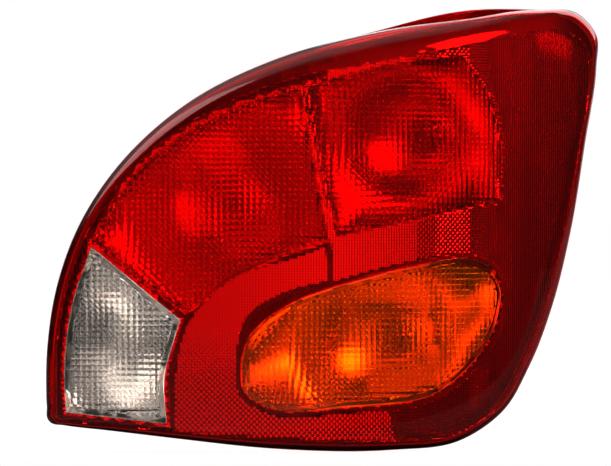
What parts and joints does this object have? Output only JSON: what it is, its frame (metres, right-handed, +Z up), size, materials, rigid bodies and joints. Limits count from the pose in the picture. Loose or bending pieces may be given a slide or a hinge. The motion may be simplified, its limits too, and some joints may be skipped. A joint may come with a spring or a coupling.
{
  "type": "tail light cluster",
  "caption": "Wrap-around rear lamp cluster for the right-hand rear corner of a car, with red, clear and amber windows, reflector bowls, bulbs and a snap-in bulb carrier.",
  "frame": {"origin": "middle of the bulb carrier's outline, on the plane where the foam seal meets the body panel", "axes": "-Y is the way the lens faces, +Y points into the car through the body aperture, +Z is up, +X is towards the outer side of the car"},
  "size_m": [0.2948, 0.1313, 0.236],
  "materials": {
    "red_lens_acrylic": "moulded transparent red acrylic, polished outside with pillow optics inside",
    "clear_lens_acrylic": "moulded clear acrylic with pillow optics inside",
    "amber_lens_acrylic": "moulded transparent amber acrylic with pillow optics inside",
    "housing_abs": "moulded dark ABS, vacuum metallised inside the bowls",
    "seal_foam": "closed-cell foam",
    "carrier_plastic": "moulded grey nylon",
    "gasket_rubber": "moulded rubber",
    "track_brass": "stamped brass strip",
    "stud_steel": "zinc-plated steel",
    "bulb_glass": "blown clear glass",
    "bulb_brass": "pressed brass",
    "bulb_insulator": "black vitrified glass",
    "bulb_solder": "solder",
    "bulb_tungsten": "coiled tungsten wire"
  },
  "bodies": {
    "root": {"red_lens": "red_lens_acrylic", "reversing_window": "clear_lens_acrylic", "indicator_window": "amber_lens_acrylic", "housing": "housing_abs", "body_seal": "seal_foam", "bulb_carrier": "carrier_plastic", "carrier_gasket": "gasket_rubber", "fixing_studs": "stud_steel", "earth_track": "track_brass", "tail_track": "track_brass", "brake_track": "track_brass", "fog_track": "track_brass", "indicator_track": "track_brass", "reversing_track": "track_brass", "tail_brake_bulb_glass": "bulb_glass", "tail_brake_bulb_cap": "bulb_brass", "tail_brake_bulb_insulator": "bulb_insulator", "tail_brake_bulb_contacts": "bulb_solder", "tail_brake_bulb_filaments": "bulb_tungsten", "fog_bulb_glass": "bulb_glass", "fog_bulb_cap": "bulb_brass", "fog_bulb_insulator": "bulb_insulator", "fog_bulb_contact": "bulb_solder", "fog_bulb_filament": "bulb_tungsten", "indicator_bulb_glass": "bulb_glass", "indicator_bulb_cap": "bulb_brass", "indicator_bulb_insulator": "bulb_insulator", "indicator_bulb_contact": "bulb_solder", "indicator_bulb_filament": "bulb_tungsten", "reversing_bulb_glass": "bulb_glass", "reversing_bulb_cap": "bulb_brass", "reversing_bulb_insulator": "bulb_insulator", "reversing_bulb_contact": "bulb_solder", "reversing_bulb_filament": "bulb_tungsten"}
  },
  "joints": []
}
